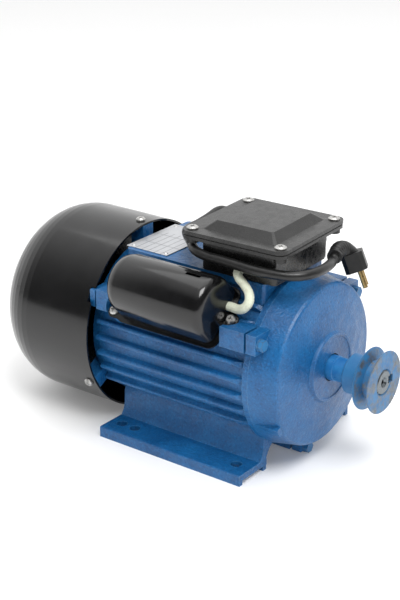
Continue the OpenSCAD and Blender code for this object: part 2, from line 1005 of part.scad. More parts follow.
module box_seat_gasket() {
    color("black")
        on_box()
            difference() {
                translate(box_middle)
                    slab([box_body.x, box_body.y - 2.6], 3, pad_z, box_floor);
                translate([6, 0, pad_z - 1])
                    cylinder(h = 4, r = 14);
                for (p = box_screw_places)
                    translate([p.x, p.y, pad_z - 1])
                        cylinder(h = 4, r = 2.3);
            }
}

module lid_gasket() {
    color("black")
        on_box()
            difference() {
                slab([lid_l - 2, lid_w - 2], 7, flange_top, lid_bottom);
                translate(box_middle)
                    slab(box_inside, 2, flange_top - 1, lid_bottom + 1);
                lid_screw_places()
                    translate([0, 0, flange_top - 1])
                        cylinder(h = 4, r = 2.3);
            }
}

module terminal_lid() {
    color([0.1, 0.1, 0.11])
        on_box()
            difference() {
                union() {
                    slab([lid_l, lid_w], 8, lid_bottom, lid_top);
                    hull() {
                        slab([66, 71], 3, lid_top - 1, lid_top);
                        slab([51, 55], 2, lid_top, panel_top);
                    }
                }
                hull() {
                    slab([62, 67], 3, lid_bottom - 1, lid_top - 2);
                    slab([48, 52], 2, lid_top - 2, panel_top - 2);
                }
                lid_screw_places()
                    translate([0, 0, lid_bottom - 1])
                        cylinder(h = 6, r = 2.2);
            }
}

module lid_screws() {
    color("silver")
        on_box()
            lid_screw_places()
                translate([0, 0, lid_top + 0.02])
                    pan_screw(4.6, 1.9, 1.65, 9);
}

module box_screws() {
    color("silver")
        on_box()
            for (p = box_screw_places)
                translate([p.x, p.y, box_floor + 2.52])
                    pan_screw(4, 2.4, 1.9, 12);
}

module terminal_board() {
    color("saddlebrown")
        on_box()
            difference() {
                union() {
                    translate([10, 0, 0])
                        slab([26, 56], 2, box_floor + 6.5, box_floor + 10.5);
                    for (s = [-1, 1])
                        translate([10, s * 24, box_floor + 2.5])
                            cylinder(h = 4, r = 3.5);
                }
                for (y = stud_places)
                    translate([10, y, box_floor])
                        cylinder(h = 20, r = 2.05);
            }
}

module terminal_studs() {
    color("gold")
        on_box()
            for (y = stud_places)
                translate([10, y, box_floor + 3.5])
                    cylinder(h = 14.5, r = 2);
}

module terminal_nuts() {
    color("gold")
        on_box()
            for (y = stud_places)
                translate([10, y, box_floor + 10.5])
                    difference() {
                        cylinder(h = 3.2, r = 4.04, $fn = 6);
                        translate([0, 0, -1])
                            cylinder(h = 6, r = 2.02);
                    }
}

module earth_screw() {
    color("darkkhaki")
        on_box()
            translate([-18, -8, box_floor + 5.5])
                union() {
                    pan_screw(4, 2.4, 1.9, 3);
                    translate([0, 0, -3])
                        cylinder(h = 1, r = 4.5);
                }
}

module cable_gland() {
    color([0.08, 0.08, 0.08])
        on_box()
            translate([gland_x, gland_face, gland_z])
                rotate([-90, 0, 0])
                    difference() {
                        union() {
                            translate([0, 0, -7])
                                cylinder(h = 8, r = 5.95);
                            cylinder(h = 5, r = 9.2, $fn = 6);
                            translate([0, 0, 4])
                                cylinder(h = 5, r = 7.6);
                            translate([0, 0, 9])
                                cylinder(h = gland_l - 9, r1 = 7.6, r2 = 5.6);
                        }
                        translate([0, 0, -8])
                            cylinder(h = gland_l + 9, r = cord_d / 2 - 0.8);
                    }
}

// ---- Capacitor ----

// The plane that touches the shoulder at 45 degrees: +Z out of it, +Y up it
module on_shoulder() {
    translate([cover_x, -shoulder_r * cos(45), shaft_height + shoulder_r * sin(45)])
        rotate([45, 0, 0])
            translate([0, cover_shift, 0])
                children();
}

// Outline of the cover at x: straight walls up to a half round of radius r
function arch(x, r, low) = [
    [x, r, low],
    for (k = [0 : 16])
        [x, r * cos(180 * k / 16), cover_h - cover_half + r * sin(180 * k / 16)],
    [x, -r, low]
];

// The cover's solid shape, rounded over at both ends
module cover_shape(inset, low) {
    half = cover_l / 2 - 2.5 - inset;
    r = cover_half - inset;
    rings = [
        for (a = [90, 60, 30, 0])
            arch(left_round * (1 - sin(a)) - half, r - left_round * (1 - cos(a)), low),
        for (a = [0, 30, 60, 90])
            arch(half - right_round * (1 - sin(a)), r - right_round * (1 - cos(a)), low)
    ];
    sides = len(rings[0]);
    polyhedron(points = [for (ring = rings) each ring], faces = skin(len(rings), sides), convexity = 4);
}

module capacitor_cover() {
    color([0.06, 0.06, 0.06])
        on_shoulder()
            difference() {
                union() {
                    cover_shape(0, 0.7);
                    translate([0, -0.5, 0])
                        slab([cover_l, 2 * cover_half + 4], 8, 0, 1.4);
                    for (p = cover_tabs) {
                        translate([p.x, p.y, 0])
                            cylinder(h = 1.4, r = 5.8);
                        translate([p.x - sign(p.x) * 5, p.y, 0.7])
                            cube([10, 11.6, 1.4], center = true);
                    }
                }
                cover_shape(cover_t, -1);
                for (p = cover_tabs)
                    translate([p.x, p.y, -1])
                        cylinder(h = 4, r = 2.2);
                block([20, 12.8, 30], [33.5, 15.3, 45]);
                translate([cover_l / 2 - 12, sleeve_hole[0], sleeve_hole[1]])
                    rotate([0, 90, 0])
                        cylinder(h = 16, r = sleeve_r + 0.4);
            }
}

module cover_screws() {
    color("silver")
        on_shoulder()
            for (p = cover_tabs)
                translate([p.x, p.y, 1.42])
                    pan_screw(4, 2.6, 1.9, 7);
}

module capacitor() {
    color("gainsboro")
        on_shoulder()
            translate([-38, 0, can_z])
                rotate([0, 90, 0]) {
                    cylinder(h = 70, r = can_r);
                    translate([0, 0, 70])
                        cylinder(h = 2, r = 16.5);
                    for (s = [-1, 1])
                        translate([-0.4, s * 6 - 3, 72])
                            cube([0.8, 6, 7]);
                }
}

module capacitor_strap() {
    color("gray")
        on_shoulder() {
            translate([-6, 0, can_z])
                rotate([0, 90, 0])
                    difference() {
                        cylinder(h = 12, r = can_r + 0.8);
                        translate([0, 0, -1])
                            cylinder(h = 14, r = can_r);
                    }
            difference() {
                block([-6, -17, 0.2], [6, 17, 1.7]);
                translate([-7, 0, can_z])
                    rotate([0, 90, 0])
                        cylinder(h = 14, r = can_r);
            }
        }
}

// ---- Leads, plate, plug ----

module lead_sleeve() {
    color("ivory")
        swept(curve(sleeve_points, 3), sleeve_r, sleeve_r, 12, [0, 0, 1]);
}

module nameplate() {
    color("lightgray")
        difference() {
            block([plate_x[0], plate_y[0], pad_z], [plate_x[1], plate_y[1], pad_z + 0.6]);
            for (p = rivet_places)
                translate([p.x, p.y, pad_z - 1])
                    cylinder(h = 3, r = 1.2);
        }
}

module nameplate_rivets() {
    color("silver")
        for (p = rivet_places)
            translate([p.x, p.y, pad_z + 0.6]) {
                cylinder(h = 0.7, r1 = 2, r2 = 1.2);
                translate([0, 0, -4])
                    cylinder(h = 4, r = 1.18);
            }
}

module power_cord() {
    color([0.1, 0.1, 0.1])
        swept(cord_path, cord_d / 2, cord_d / 2, 10, [0, 0, 1]);
}

// A band that holds the two turns of the lead together
module lead_tie() {
    color([0.05, 0.05, 0.05])
        difference() {
            tie_slot(5.5, 2.5);
            tie_slot(4.6, 4);
        }
}

module tie_slot(r, half) {
    hull()
        for (k = [6, 18])
            translate(coil_points[k])
                rotate([-132, 0, 0])
                    cylinder(h = 2 * half, r = r, center = true, $fn = 32);
}

// Local frame of the plug: +X is its thickness, +Y the row of pins, +Z toward the lead
module on_plug() {
    multmatrix([
        [plug_x.x, plug_y.x, plug_z.x, plug_middle.x],
        [plug_x.y, plug_y.y, plug_z.y, plug_middle.y],
        [plug_x.z, plug_y.z, plug_z.z, plug_middle.z],
        [0, 0, 0, 1]
    ])
        children();
}

module plug_block() {
    on_plug()
        translate([0, 0, -plug_length / 2])
            linear_extrude(height = plug_length)
                polygon([
                    [-8.6, -8.5], [-5.4, -12], [5.4, -12], [8.6, -8.5],
                    [8.6, 8.5], [5.4, 12], [-5.4, 12], [-8.6, 8.5]
                ]);
}

module plug_body() {
    color([0.08, 0.08, 0.08])
        difference() {
            plug_block();
            on_plug()
                for (s = [-1, 1])
                    translate([plug_pin.x, s * plug_pin.y, -plug_length / 2 - 1])
                        cylinder(h = 7, r = 2);
        }
}

module plug_pins() {
    color("goldenrod")
        on_plug()
            for (s = [-1, 1])
                translate([plug_pin.x, s * plug_pin.y, -plug_length / 2 - pin_out])
                    cylinder(h = pin_out + 6, r = 2);
}

module cord_boot() {
    color([0.07, 0.07, 0.07])
        difference() {
            swept(concat([boot_mouth], curve(boot_points, 2), [boot_end]), 5.6, 7, 12, [0, 0, 1]);
            plug_block();
        }
}

frame_housing();
stator_core();
front_winding();
rear_winding();
drive_end_shield();
rear_shield();
front_shield_bolts();
front_bolt_washers();
rear_shield_bolts();
rear_bolt_washers();
front_bearing_outer();
rear_bearing_outer();
wave_spring();
shaft_seal();
fan_cowl();
cowl_screws();
terminal_box();
box_seat_gasket();
lid_gasket();
terminal_lid();
lid_screws();
box_screws();
terminal_board();
terminal_studs();
terminal_nuts();
earth_screw();
cable_gland();
capacitor();
capacitor_strap();
capacitor_cover();
cover_screws();
lead_sleeve();
nameplate();
nameplate_rivets();
switch_board();
switch_arm();
shaft();
rotor_core();
rotor_end_rings();
front_bearing_inner();
rear_bearing_inner();
front_bearing_balls();
rear_bearing_balls();
governor_plate();
governor_collar();
flyweight_upper();
flyweight_lower();
cooling_fan();
fan_circlip();
pulley();
pulley_key();
pulley_set_screw();
power_cord();
lead_tie();
cord_boot();
plug_body();
plug_pins();
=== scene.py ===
"""Looks of a foot-mounted electric motor: camera, mains lead, detailed pieces, materials and studio."""

import math

import bmesh
import bpy
from mathutils import Matrix, Vector


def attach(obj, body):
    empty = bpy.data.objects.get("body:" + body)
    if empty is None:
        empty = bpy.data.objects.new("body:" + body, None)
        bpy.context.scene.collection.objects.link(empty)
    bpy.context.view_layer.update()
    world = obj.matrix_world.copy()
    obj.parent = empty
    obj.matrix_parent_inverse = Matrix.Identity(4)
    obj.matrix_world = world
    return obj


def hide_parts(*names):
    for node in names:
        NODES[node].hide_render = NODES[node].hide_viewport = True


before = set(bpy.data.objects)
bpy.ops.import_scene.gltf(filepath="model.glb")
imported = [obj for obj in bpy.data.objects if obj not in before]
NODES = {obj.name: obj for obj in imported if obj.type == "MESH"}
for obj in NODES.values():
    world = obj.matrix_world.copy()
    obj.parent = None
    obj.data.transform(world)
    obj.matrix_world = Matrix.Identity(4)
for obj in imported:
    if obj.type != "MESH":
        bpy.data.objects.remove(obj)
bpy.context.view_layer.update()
MM = 0.001

# ---- Camera ----

CAMERA_PLACE = (0.6516, -0.90695, 0.57183)
CAMERA_AZIMUTH = 37.0
CAMERA_ELEVATION = 22.39
CAMERA_LENS = 91.9


def add_camera():
    data = bpy.data.cameras.new("camera")
    data.lens = CAMERA_LENS
    data.sensor_width = 36.0
    camera = bpy.data.objects.new("camera", data)
    bpy.context.collection.objects.link(camera)
    camera.location = CAMERA_PLACE
    camera.rotation_euler = (math.radians(90 - CAMERA_ELEVATION), 0, math.radians(CAMERA_AZIMUTH))
    bpy.context.scene.camera = camera


add_camera()

# ---- Material tools ----


class Paint:
    """Builds one procedural material node by node around a Principled shader."""

    def __init__(self, name, rough, metal=0.0, coat=0.0, coat_rough=0.1, specular=0.5):
        self.material = bpy.data.materials.new(name)
        self.material.use_nodes = True
        self.tree = self.material.node_tree
        self.shader = self.tree.nodes["Principled BSDF"]
        self.shader.inputs["Roughness"].default_value = rough
        self.shader.inputs["Metallic"].default_value = metal
        self.shader.inputs["Coat Weight"].default_value = coat
        self.shader.inputs["Coat Roughness"].default_value = coat_rough
        self.shader.inputs["Specular IOR Level"].default_value = specular
        self.place = self.tree.nodes.new("ShaderNodeTexCoord").outputs["Object"]

    def node(self, kind, **values):
        n = self.tree.nodes.new(kind)
        for key, value in values.items():
            setattr(n, key, value)
        return n

    def link(self, a, b):
        self.tree.links.new(a, b)

    def stretched(self, scale):
        mapping = self.node("ShaderNodeMapping")
        mapping.inputs["Scale"].default_value = scale
        self.link(self.place, mapping.inputs["Vector"])
        return mapping.outputs["Vector"]

    def noise(self, size_mm, detail=3.0, rough=0.5, scale=(1, 1, 1)):
        """Noise whose features are about size_mm across."""
        n = self.node("ShaderNodeTexNoise")
        n.inputs["Scale"].default_value = 1.0 / (size_mm * MM)
        n.inputs["Detail"].default_value = detail
        n.inputs["Roughness"].default_value = rough
        self.link(self.stretched(scale), n.inputs["Vector"])
        return n.outputs["Fac"]

    def range(self, value, low, high, to_low=0.0, to_high=1.0):
        n = self.node("ShaderNodeMapRange")
        n.inputs["From Min"].default_value = low
        n.inputs["From Max"].default_value = high
        n.inputs["To Min"].default_value = to_low
        n.inputs["To Max"].default_value = to_high
        self.link(value, n.inputs["Value"])
        return n.outputs["Result"]

    def maths(self, operation, a, b):
        n = self.node("ShaderNodeMath", operation=operation)
        for socket, value in zip(n.inputs, (a, b)):
            if isinstance(value, (int, float)):
                socket.default_value = value
            else:
                self.link(value, socket)
        return n.outputs["Value"]

    def mix(self, factor, a, b):
        n = self.node("ShaderNodeMix", data_type="RGBA")
        self.link(factor, n.inputs["Factor"])
        for socket, value in ((n.inputs[6], a), (n.inputs[7], b)):
            if isinstance(value, (tuple, list)):
                socket.default_value = (*value, 1.0)
            else:
                self.link(value, socket)
        return n.outputs[2]

    def axis(self, name):
        n = self.node("ShaderNodeSeparateXYZ")
        self.link(self.place, n.inputs["Vector"])
        return n.outputs[name]

    def colour(self, value):
        self.link(value, self.shader.inputs["Base Color"])

    def roughness(self, value):
        self.link(value, self.shader.inputs["Roughness"])

    def metallic(self, value):
        self.link(value, self.shader.inputs["Metallic"])

    def edges(self, radius_mm, low=0.03, high=0.2):
        """1 along convex and concave edges, 0 on flats."""
        bevel = self.node("ShaderNodeBevel", samples=4)
        bevel.inputs["Radius"].default_value = radius_mm * MM
        flat = self.node("ShaderNodeNewGeometry")
        dot = self.node("ShaderNodeVectorMath", operation="DOT_PRODUCT")
        self.link(bevel.outputs["Normal"], dot.inputs[0])
        self.link(flat.outputs["Normal"], dot.inputs[1])
        return self.range(self.maths("SUBTRACT", 1.0, dot.outputs["Value"]), low, high)

    def bump(self, layers):
        """layers: (height, depth in mm, strength), one over the other."""
        normal = None
        for height, depth_mm, strength in layers:
            n = self.node("ShaderNodeBump")
            n.inputs["Strength"].default_value = strength
            n.inputs["Distance"].default_value = depth_mm * MM
            self.link(height, n.inputs["Height"])
            if normal is not None:
                self.link(normal, n.inputs["Normal"])
            normal = n.outputs["Normal"]
        self.link(normal, self.shader.inputs["Normal"])
        self.link(normal, self.shader.inputs["Coat Normal"])


BLUE_DARK = (0.003, 0.066, 0.20)
BLUE_LIGHT = (0.008, 0.120, 0.32)
# Painted highlight on the raised spots of the enamel grain
BLUE_PAINTED_HIGHLIGHT = (0.012, 0.17, 0.44)
# Painted shade in the pits of the enamel grain
BLUE_PAINTED_PIT_SHADE = (0.002, 0.04, 0.13)
# Lighter blue for edges, partly real wear and partly a painted edge highlight
BLUE_WORN_AND_HIGHLIGHT = (0.10, 0.26, 0.44)
BLUE_DIRT = (0.006, 0.028, 0.07)
STEEL_DARK = (0.20, 0.20, 0.20)
STEEL_LIGHT = (0.50, 0.49, 0.47)
RUST = (0.10, 0.035, 0.012)
RULE_INK = (0.03, 0.035, 0.05)

# Where a finish changes along the shaft, the pulley and the plate, in metres: (start, end)
PULLEY_FACE = (0.1392, 0.1398)
PULLEY_GROOVE_REAR = (0.1276, 0.1282)
PULLEY_GROOVE_FRONT = (0.1392, 0.1388)
SHAFT_PAINT_REAR = (0.090, 0.0905)
SHAFT_PAINT_FRONT = (0.1285, 0.128)
PLATE_RULES_X = (-0.0715, -0.071)
PLATE_RULES_Y = (0.0065, 0.006)


def enamel(name, grain_mm, grain_depth_mm, rough, wear_and_shading=0.6):
    """Blue enamel over cast metal: lumpy casting, orange peel, patches, a painted highlight on the
    grain's raised spots and painted shade in its pits, and edges lightened by wear and by a painted
    edge highlight.
    """
    p = Paint(name, rough, coat=0.12, coat_rough=0.2)
    patches = p.noise(35, 4, 0.6)
    base = p.mix(p.range(patches, 0.3, 0.7), BLUE_DARK, BLUE_LIGHT)
    grain = p.noise(grain_mm, 3, 0.65)
    # The grain's raised spots are painted lighter (painted highlight) and its pits darker (painted
    # shade)
    base = p.mix(p.range(grain, 0.54, 0.70, 0, wear_and_shading), base, BLUE_PAINTED_HIGHLIGHT)
    base = p.mix(p.range(grain, 0.46, 0.32, 0, wear_and_shading), base, BLUE_PAINTED_PIT_SHADE)
    # Every edge is lightened: partly real wear, partly a painted edge highlight
    edge_wear_and_highlight = p.range(p.noise(5, 3, 0.6), 0.35, 0.62, 0.25, wear_and_shading)
    base = p.mix(p.maths("MULTIPLY", p.edges(0.9), edge_wear_and_highlight), base, BLUE_WORN_AND_HIGHLIGHT)
    dirt = p.range(p.noise(12, 5, 0.7), 0.62, 0.85, 0, 0.5)
    p.colour(p.mix(dirt, base, BLUE_DIRT))
    p.roughness(p.range(p.noise(9, 3), 0.3, 0.7, rough - 0.08, rough + 0.12))
    p.bump([
        (p.noise(grain_mm * 5, 3, 0.55), grain_depth_mm * 3, 0.6),
        (p.noise(grain_mm, 3, 0.55), grain_depth_mm * 1.3, 1.0),
        (p.noise(grain_mm * 0.35, 2, 0.5), grain_depth_mm * 0.3, 0.6),
    ])
    return p.material


def worn_enamel(name, bare_mask):
    """Blue enamel rubbed through to turned metal where bare_mask(paint) is 1."""
    p = Paint(name, 0.42)
    bare = bare_mask(p)
    paint = p.mix(p.range(p.noise(14, 4, 0.6), 0.3, 0.7), (0.016, 0.12, 0.30), (0.035, 0.18, 0.38))
    metal = p.mix(p.noise(2.2, 4, 0.65), (0.08, 0.10, 0.12), (0.24, 0.26, 0.28))
    metal = p.mix(p.range(p.noise(6, 4, 0.7), 0.6, 0.75, 0, 0.3), metal, (0.10, 0.065, 0.04))
    p.colour(p.mix(bare, paint, metal))
    p.metallic(p.range(bare, 0, 1, 0.0, 0.75))
    p.roughness(p.range(p.noise(3, 3), 0.3, 0.7, 0.34, 0.52))
    p.bump([(p.noise(4, 3), 0.10, 0.6), (p.noise(0.8, 2), 0.03, 0.6)])
    return p.material


def pulley_bare(p):
    """Bare on the front face and in the groove, patchy elsewhere."""
    face = p.range(p.axis("X"), *PULLEY_FACE)
    groove = p.maths(
        "MULTIPLY", p.range(p.axis("X"), *PULLEY_GROOVE_REAR),
        p.range(p.axis("X"), *PULLEY_GROOVE_FRONT),
    )
    patch = p.range(p.noise(9, 4, 0.65), 0.42, 0.60)
    rubbed = p.maths("MULTIPLY", p.maths("MAXIMUM", face, groove), patch)
    return p.maths("MAXIMUM", rubbed, p.range(p.edges(0.7), 0, 1, 0, 0.8))


def bolt_bare(p):
    """Bare along the hexagon's edges."""
    return p.range(p.edges(0.9, 0.02, 0.12), 0, 1, 0, 0.9)


def shaft_steel():
    """Ground steel; the stretch before the pulley is painted blue, with a rust speck."""
    p = Paint("shaft_steel", 0.3, metal=1.0)
    painted = p.maths(
        "MULTIPLY", p.range(p.axis("X"), *SHAFT_PAINT_REAR),
        p.range(p.axis("X"), *SHAFT_PAINT_FRONT),
    )
    steel = p.mix(p.noise(1.2, 4, 0.6, (6, 1, 1)), (0.09, 0.105, 0.115), (0.27, 0.30, 0.32))
    blue = p.mix(p.range(p.noise(8, 3), 0.35, 0.65), (0.012, 0.13, 0.36), (0.03, 0.2, 0.46))
    specks = p.range(p.noise(4.5, 4, 0.7), 0.68, 0.74)
    p.colour(p.mix(painted, steel, p.mix(specks, blue, RUST)))
    p.metallic(p.range(painted, 0, 1, 1.0, 0.0))
    p.roughness(p.range(p.noise(2.5, 3), 0.3, 0.7, 0.26, 0.42))
    p.bump([(p.noise(0.5, 2, 0.5, (12, 1, 1)), 0.02, 0.5)])
    return p.material


def gloss_black():
    """Black enamel on pressed sheet, faintly wavy, with dust and fine scuffs."""
    p = Paint("gloss_black", 0.22, coat=0.2, coat_rough=0.1)
    dust = p.range(p.noise(22, 5, 0.65), 0.5, 0.8, 0, 0.5)
    base = p.mix(dust, (0.003, 0.003, 0.0033), (0.012, 0.012, 0.013))
    scuffs = p.range(p.noise(1.3, 3, 0.7, (1, 0.15, 1)), 0.68, 0.8, 0, 0.4)
    p.colour(p.mix(scuffs, base, (0.03, 0.03, 0.03)))
    p.roughness(p.range(p.noise(16, 4, 0.6), 0.3, 0.7, 0.13, 0.24))
    p.bump([(p.noise(60, 2), 0.35, 0.5), (p.noise(2.2, 2), 0.012, 0.5)])
    return p.material


def moulded_black(name, grain_mm=0.7, depth_mm=0.03, tone=1.0, rough=0.42):
    """Dark moulded plastic or rubber with a fine spark-eroded grain."""
    p = Paint(name, rough)
    light = tuple(0.034 * tone for _ in range(3))
    dark = tuple(0.016 * tone for _ in range(3))
    base = p.mix(p.range(p.noise(18, 4), 0.3, 0.7), dark, light)
    rubbed = p.maths("MULTIPLY", p.edges(0.6), p.range(p.noise(6, 3), 0.4, 0.6, 0, 0.35))
    p.colour(p.mix(rubbed, base, tuple(0.10 * tone for _ in range(3))))
    p.roughness(p.range(p.noise(5, 3), 0.3, 0.7, rough - 0.06, rough + 0.1))
    p.bump([(p.noise(9, 3), 0.06, 0.5), (p.noise(grain_mm, 2, 0.6), depth_mm, 0.7)])
    return p.material


def bare_metal(name, dark, light, rough, grain=(1, 1, 1), grain_mm=0.8):
    """Plated or machined metal with a directional grain and light tarnish."""
    p = Paint(name, rough, metal=1.0)
    base = p.mix(p.noise(grain_mm, 4, 0.6, grain), dark, light)
    tarnish = p.range(p.noise(3, 4, 0.7), 0.55, 0.8, 0, 0.6)
    p.colour(p.mix(tarnish, base, tuple(0.35 * c for c in dark)))
    p.roughness(p.range(p.noise(1.5, 3), 0.3, 0.7, rough - 0.06, rough + 0.12))
    p.bump([(p.noise(grain_mm, 3, 0.5, grain), 0.02, 0.5)])
    return p.material


def plate_metal():
    """Brushed plate, printed with plain rules only."""
    p = Paint("plate_metal", 0.34, metal=0.85)
    base = p.mix(p.noise(0.5, 3, 0.6, (1, 12, 1)), (0.42, 0.43, 0.45), (0.66, 0.67, 0.69))
    rules = p.node("ShaderNodeTexBrick", offset=0.0)
    rules.inputs["Scale"].default_value = 1.0
    rules.inputs["Brick Width"].default_value = 19 * MM
    rules.inputs["Row Height"].default_value = 6.2 * MM
    rules.inputs["Mortar Size"].default_value = 0.28 * MM
    rules.inputs["Mortar Smooth"].default_value = 0.1
    turned = p.node("ShaderNodeMapping")
    turned.inputs["Rotation"].default_value = (0, 0, math.radians(90))
    p.link(p.place, turned.inputs["Vector"])
    p.link(turned.outputs["Vector"], rules.inputs["Vector"])
    along = p.range(p.axis("X"), *PLATE_RULES_X, 0.0, 0.75)
    across = p.range(p.axis("Y"), *PLATE_RULES_Y, 0.0, 1.0)
    ruled = p.maths("MULTIPLY", p.maths("MULTIPLY", rules.outputs["Fac"], along), across)
    p.colour(p.mix(ruled, base, RULE_INK))
    p.roughness(p.range(p.noise(6, 3), 0.3, 0.7, 0.28, 0.44))
    p.bump([(p.noise(0.4, 2, 0.5, (1, 14, 1)), 0.015, 0.5)])
    return p.material


def woven_glass():
    """Cream glass-fibre sleeving."""
    p = Paint("woven_glass", 0.62)
    p.shader.inputs["Sheen Weight"].default_value = 0.3
    base = p.mix(p.noise(1.0, 4, 0.6), (0.50, 0.53, 0.40), (0.76, 0.79, 0.65))
    p.colour(p.mix(p.range(p.noise(7, 4), 0.55, 0.75, 0, 0.5), base, (0.36, 0.30, 0.20)))
    p.bump([(p.noise(0.45, 2, 0.6), 0.05, 0.8)])
    return p.material


def varnished(name, dark, light, rough=0.35, metal=0.0):
    """Varnished wire bundles, resin board or laminated iron."""
    p = Paint(name, rough, metal=metal, coat=0.2)
    p.colour(p.mix(p.noise(1.4, 4, 0.6, (8, 1, 1)), dark, light))
    p.roughness(p.range(p.noise(3, 3), 0.3, 0.7, rough - 0.05, rough + 0.15))
    p.bump([(p.noise(0.9, 3, 0.6, (8, 1, 1)), 0.12, 0.7)])
    return p.material


MATERIALS = {
    "cast": enamel("cast_enamel", 2.0, 0.5, 0.40),
    "shield": enamel("shield_enamel", 1.8, 0.3, 0.38),
    "bolt": worn_enamel("bolt_enamel", bolt_bare),
    "pulley": worn_enamel("pulley_enamel", pulley_bare),
    "shaft": shaft_steel(),
    "gloss": gloss_black(),
    "box": moulded_black("box_plastic", 0.7, 0.012, 0.4, 0.26),
    "rubber": moulded_black("rubber", 0.6, 0.03, 0.42, 0.45),
    "cable": moulded_black("cable_rubber", 1.1, 0.05, 0.4, 0.36),
    "zinc": bare_metal("zinc_plate", (0.30, 0.30, 0.30), (0.78, 0.77, 0.74), 0.4),
    "steel": bare_metal("ground_steel", STEEL_DARK, STEEL_LIGHT, 0.3, (10, 1, 1), 0.6),
    "dark_steel": bare_metal("dark_steel", (0.05, 0.05, 0.052), (0.16, 0.155, 0.15), 0.42),
    "brass": bare_metal("brass", (0.45, 0.30, 0.11), (0.72, 0.52, 0.24), 0.3),
    "alloy": bare_metal("alloy", (0.40, 0.40, 0.40), (0.66, 0.66, 0.66), 0.38),
    "plate": plate_metal(),
    "sleeve": woven_glass(),
    "copper": varnished("varnished_copper", (0.16, 0.05, 0.02), (0.42, 0.16, 0.06)),
    "board": varnished("resin_board", (0.05, 0.022, 0.01), (0.13, 0.06, 0.025)),
    "iron": varnished("laminated_iron", (0.06, 0.06, 0.065), (0.16, 0.16, 0.17), 0.4, 0.8),
}

LOOKS = {
    "cast": ["frame_housing", "rear_shield"],
    "shield": ["drive_end_shield"],
    "bolt": [
        "front_shield_bolts", "front_bolt_washers", "rear_shield_bolts", "rear_bolt_washers",
    ],
    "pulley": ["pulley"],
    "shaft": ["shaft"],
    "gloss": ["fan_cowl", "capacitor_cover"],
    "box": ["terminal_box", "terminal_lid", "cable_gland", "cooling_fan", "lead_tie"],
    "rubber": ["shaft_seal", "box_seat_gasket", "lid_gasket", "plug_body"],
    "zinc": [
        "cowl_screws", "lid_screws", "cover_screws", "box_screws", "earth_screw",
        "capacitor_strap", "governor_plate",
    ],
    "steel": [
        "front_bearing_outer", "rear_bearing_outer", "front_bearing_inner", "rear_bearing_inner",
        "front_bearing_balls", "rear_bearing_balls", "wave_spring", "fan_circlip",
        "flyweight_upper", "flyweight_lower",
    ],
    "dark_steel": ["pulley_key", "pulley_set_screw"],
    "brass": ["terminal_studs", "terminal_nuts", "switch_arm", "plug_pins"],
    "alloy": ["capacitor", "rotor_end_rings", "nameplate_rivets"],
    "plate": ["nameplate"],
    "copper": ["front_winding", "rear_winding"],
    "board": ["terminal_board", "switch_board", "governor_collar"],
    "iron": ["stator_core", "rotor_core"],
}

MERGE_DISTANCE = 0.002 * MM
SHARP_ANGLE = math.radians(32)
ROUNDED_ANGLE = math.radians(38)

# Edge rounding of the nodes that have any, in millimetres
ROUNDING = {
    "frame_housing": 0.9, "terminal_box": 0.8, "terminal_lid": 0.9, "capacitor_cover": 0.6,
    "plug_body": 1.3, "cable_gland": 0.5, "front_shield_bolts": 0.35, "rear_shield_bolts": 0.35,
    "lid_screws": 0.25, "cowl_screws": 0.25, "cover_screws": 0.25, "lead_tie": 0.3,
    "nameplate": 0.1, "lid_gasket": 0.2,
}


def softening():
    """Node group that joins the faces of a mesh and shades all but its sharp edges smooth."""
    group = bpy.data.node_groups.new("softening", "GeometryNodeTree")
    group.interface.new_socket("Geometry", in_out="INPUT", socket_type="NodeSocketGeometry")
    group.interface.new_socket("Geometry", in_out="OUTPUT", socket_type="NodeSocketGeometry")
    kinds = [
        "NodeGroupInput", "GeometryNodeMergeByDistance", "GeometryNodeRemoveAttribute",
        "GeometryNodeSetShadeSmooth", "GeometryNodeSetShadeSmooth", "GeometryNodeSetShadeSmooth",
        "NodeGroupOutput",
    ]
    chain = [group.nodes.new(kind) for kind in kinds]
    merge, drop, faces, edges, creases = chain[1:6]
    merge.inputs["Distance"].default_value = MERGE_DISTANCE
    drop.inputs["Name"].default_value = "custom_normal"
    faces.domain = "FACE"
    edges.domain = "EDGE"
    creases.domain = "EDGE"
    creases.inputs["Shade Smooth"].default_value = False
    angle = group.nodes.new("GeometryNodeInputMeshEdgeAngle")
    sharp = group.nodes.new("ShaderNodeMath")
    sharp.operation = "GREATER_THAN"
    sharp.inputs[1].default_value = SHARP_ANGLE
    group.links.new(angle.outputs["Unsigned Angle"], sharp.inputs[0])
    group.links.new(sharp.outputs["Value"], creases.inputs["Selection"])
    for one, two in zip(chain, chain[1:]):
        group.links.new(one.outputs[0], two.inputs[0])
    return group


SOFTENING = softening()


def dress(name, look):
    """Gives a node its material, and rounds its edges if it is in ROUNDING."""
    node = NODES[name]
    node.data.materials.clear()
    node.data.materials.append(MATERIALS[look])
    if name in ROUNDING:
        node.modifiers.new("softening", "NODES").node_group = SOFTENING
        bevel = node.modifiers.new("rounding", "BEVEL")
        bevel.width = ROUNDING[name] * MM
        bevel.segments = 2
        bevel.limit_method = "ANGLE"
        bevel.angle_limit = ROUNDED_ANGLE
        bevel.harden_normals = True


for look, names in LOOKS.items():
    for name in names:
        dress(name, look)

# ---- Routes: the same points as the solids have, in metres ----

CORD_D = 7.6 * MM
BOX_X = 29 * MM
BOX_TURN = math.radians(2.5)
BOX_SIDE_Y = 36.3
GLAND_LENGTH = 13
GLAND = Vector((2, BOX_SIDE_Y + GLAND_LENGTH, 163)) * MM
COIL_MIDDLE = Vector((0, 59, 134.8)) * MM
COIL_R = 31 * MM
COIL_TILT = math.radians(42)
COIL_END = 540
COIL_STEP = 20
